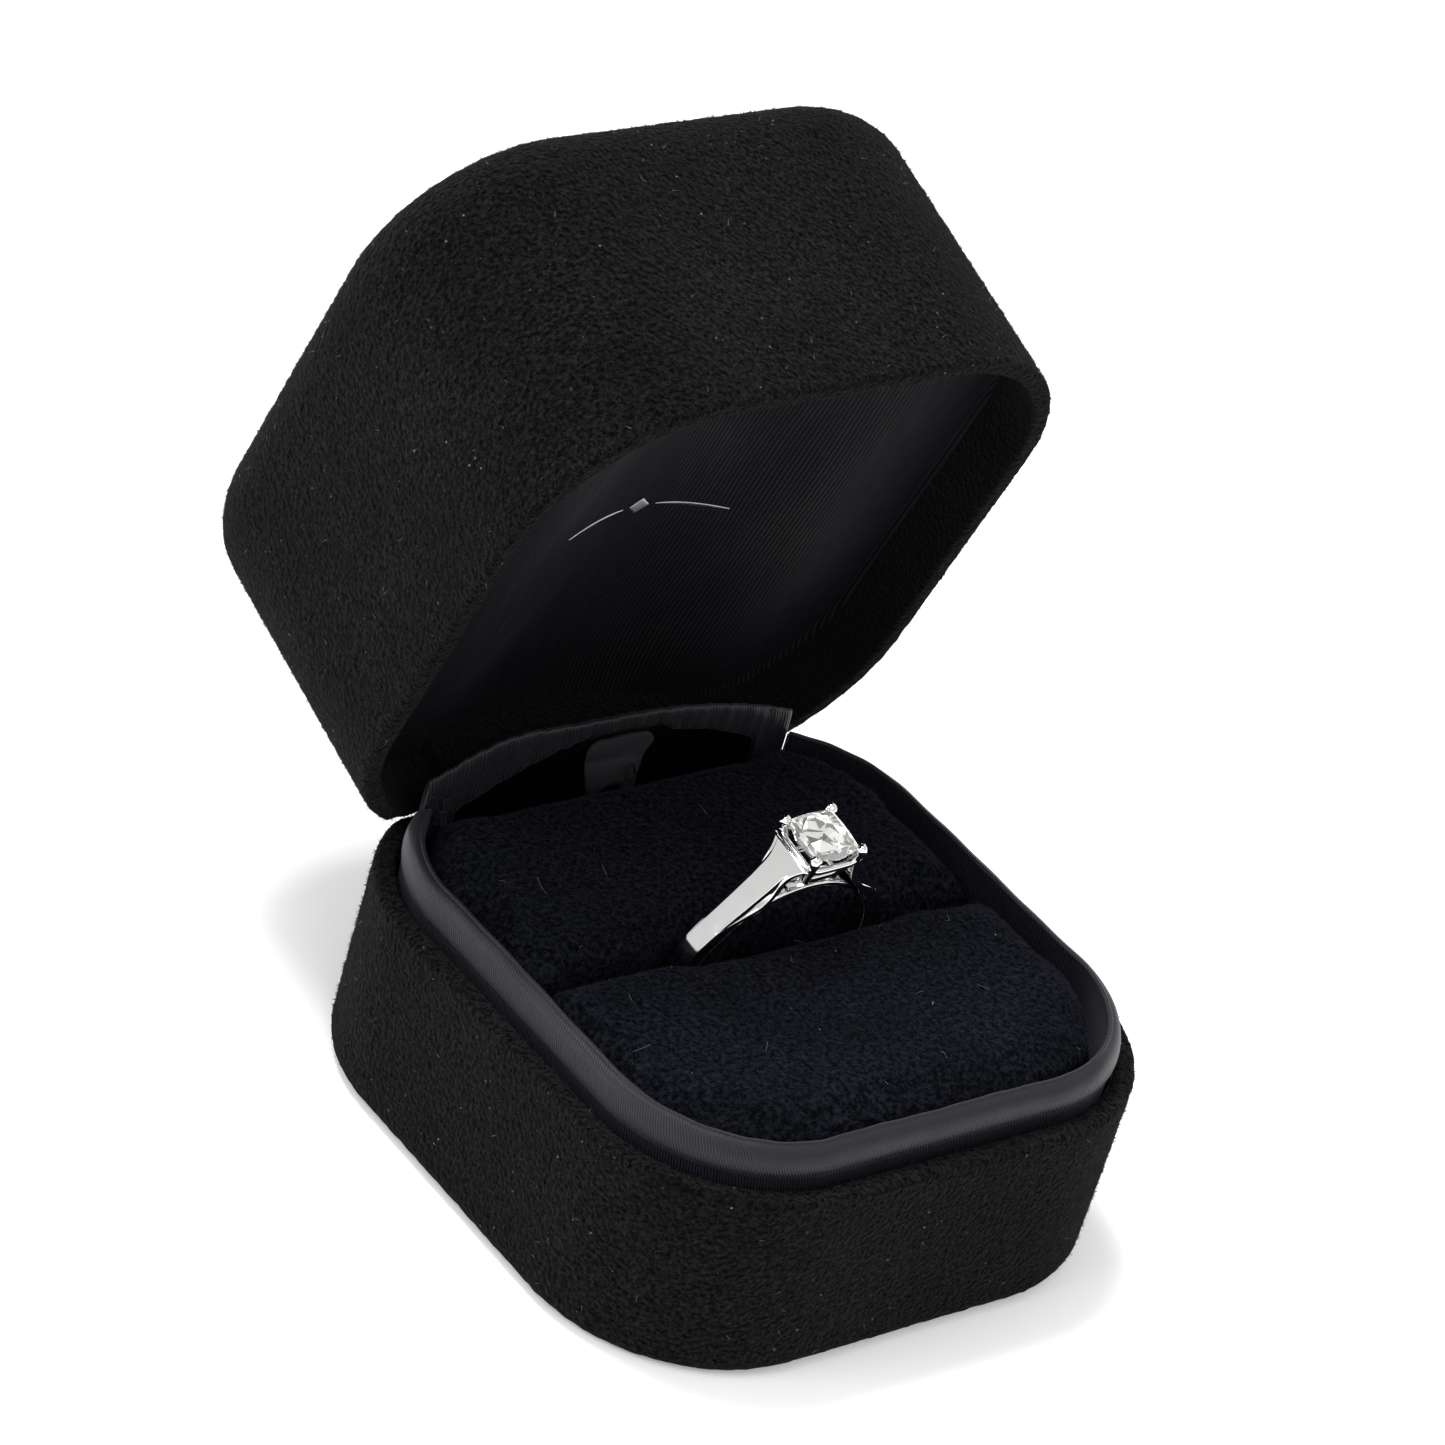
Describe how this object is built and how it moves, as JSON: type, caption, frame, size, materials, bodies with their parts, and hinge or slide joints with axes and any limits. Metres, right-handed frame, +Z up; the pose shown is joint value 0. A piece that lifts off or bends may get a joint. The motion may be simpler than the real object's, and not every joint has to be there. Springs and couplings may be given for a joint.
{
  "type": "ring box",
  "caption": "Hinged suede covered ring box standing open, with a satin collar, a split velvet cushion and a solitaire ring in its slot.",
  "frame": {"origin": "centre of the underside, on the surface the box stands on", "axes": "+X to the right seen from the front, +Y to the back where the hinge is, +Z up"},
  "size_m": [0.0514, 0.0771, 0.073],
  "materials": {
    "shell": "moulded black",
    "suede": "black micro-suede with a short nap",
    "underside_pad": "black felt",
    "foam": "dark foam",
    "card": "grey board",
    "velvet": "navy black velvet",
    "satin": "charcoal satin",
    "liner_satin": "charcoal ribbed satin",
    "hinge_steel": "spring steel",
    "ring_metal": "polished white metal",
    "diamond": "clear cut stone"
  },
  "bodies": {
    "base": {"base_shell": "shell", "base_cover": "suede", "base_bottom_pad": "underside_pad", "foam_block": "foam", "cushion_card": "card", "cushion_front": "velvet", "cushion_back": "velvet", "collar_frame": "card", "collar_satin": "satin", "hinge_base_leaf": "hinge_steel", "hinge_pin": "hinge_steel", "hinge_bow": "hinge_steel", "hinge_band": "satin", "hinge_tongue": "satin", "hinge_base_rivets": "hinge_steel"},
    "lid": {"lid_shell": "shell", "lid_cover": "suede", "lid_lining": "suede", "liner_card": "card", "liner_satin": "liner_satin", "hinge_lid_leaf": "hinge_steel", "hinge_lid_rivets": "hinge_steel"},
    "ring": {"ring_shank": "ring_metal", "ring_head": "ring_metal", "diamond": "diamond"}
  },
  "joints": [
    {"name": "lid_hinge", "type": "hinge", "parent": "base", "child": "lid", "pos_m": [0, 0.0231, 0.0176], "axis": [1, 0, 0], "range_deg": [0, 72]},
    {"name": "ring_lift", "type": "slide", "parent": "base", "child": "ring", "axis": [0, -0.1822, 0.9833], "range_m": [0, 0.045]}
  ]
}
